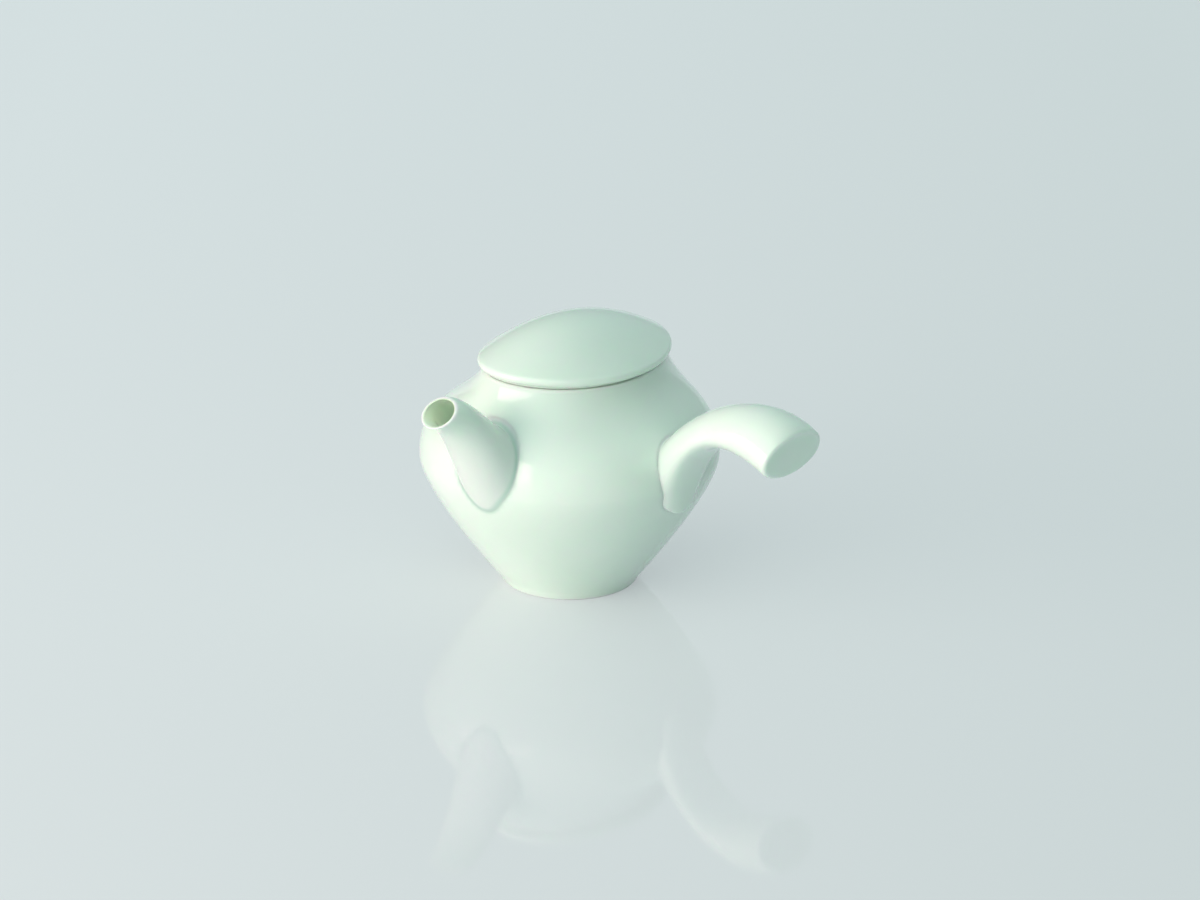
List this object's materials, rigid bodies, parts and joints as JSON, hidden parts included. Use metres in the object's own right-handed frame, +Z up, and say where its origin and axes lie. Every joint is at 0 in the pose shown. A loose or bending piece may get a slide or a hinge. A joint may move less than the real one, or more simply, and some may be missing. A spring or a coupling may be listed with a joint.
{
  "type": "teapot",
  "caption": "Small side-handled glazed ceramic teapot: round belly turning to an oval mouth, oblique spout, hollow side handle, pierced strainer and a domed oval lid that lifts off.",
  "frame": {"origin": "on the surface the foot stands on, under the middle of the whole object's box", "axes": "+Z up; the spout points along -X, the handle roughly along -Y"},
  "size_m": [0.1432, 0.1672, 0.1033],
  "materials": {
    "pot_glaze": "glossy pale celadon glaze",
    "spout_glaze": "glossy pale celadon glaze",
    "handle_glaze": "glossy pale celadon glaze",
    "strainer_glaze": "thin glaze on porcelain",
    "lid_glaze": "glossy pale celadon glaze"
  },
  "bodies": {
    "pot": {"pot_body": "pot_glaze", "spout": "spout_glaze", "handle": "handle_glaze", "strainer": "strainer_glaze"},
    "lid": {"lid": "lid_glaze"}
  },
  "joints": [
    {"name": "lid_lift", "type": "slide", "parent": "pot", "child": "lid", "axis": [0, 0, 1], "range_m": [0, 0.05]}
  ]
}
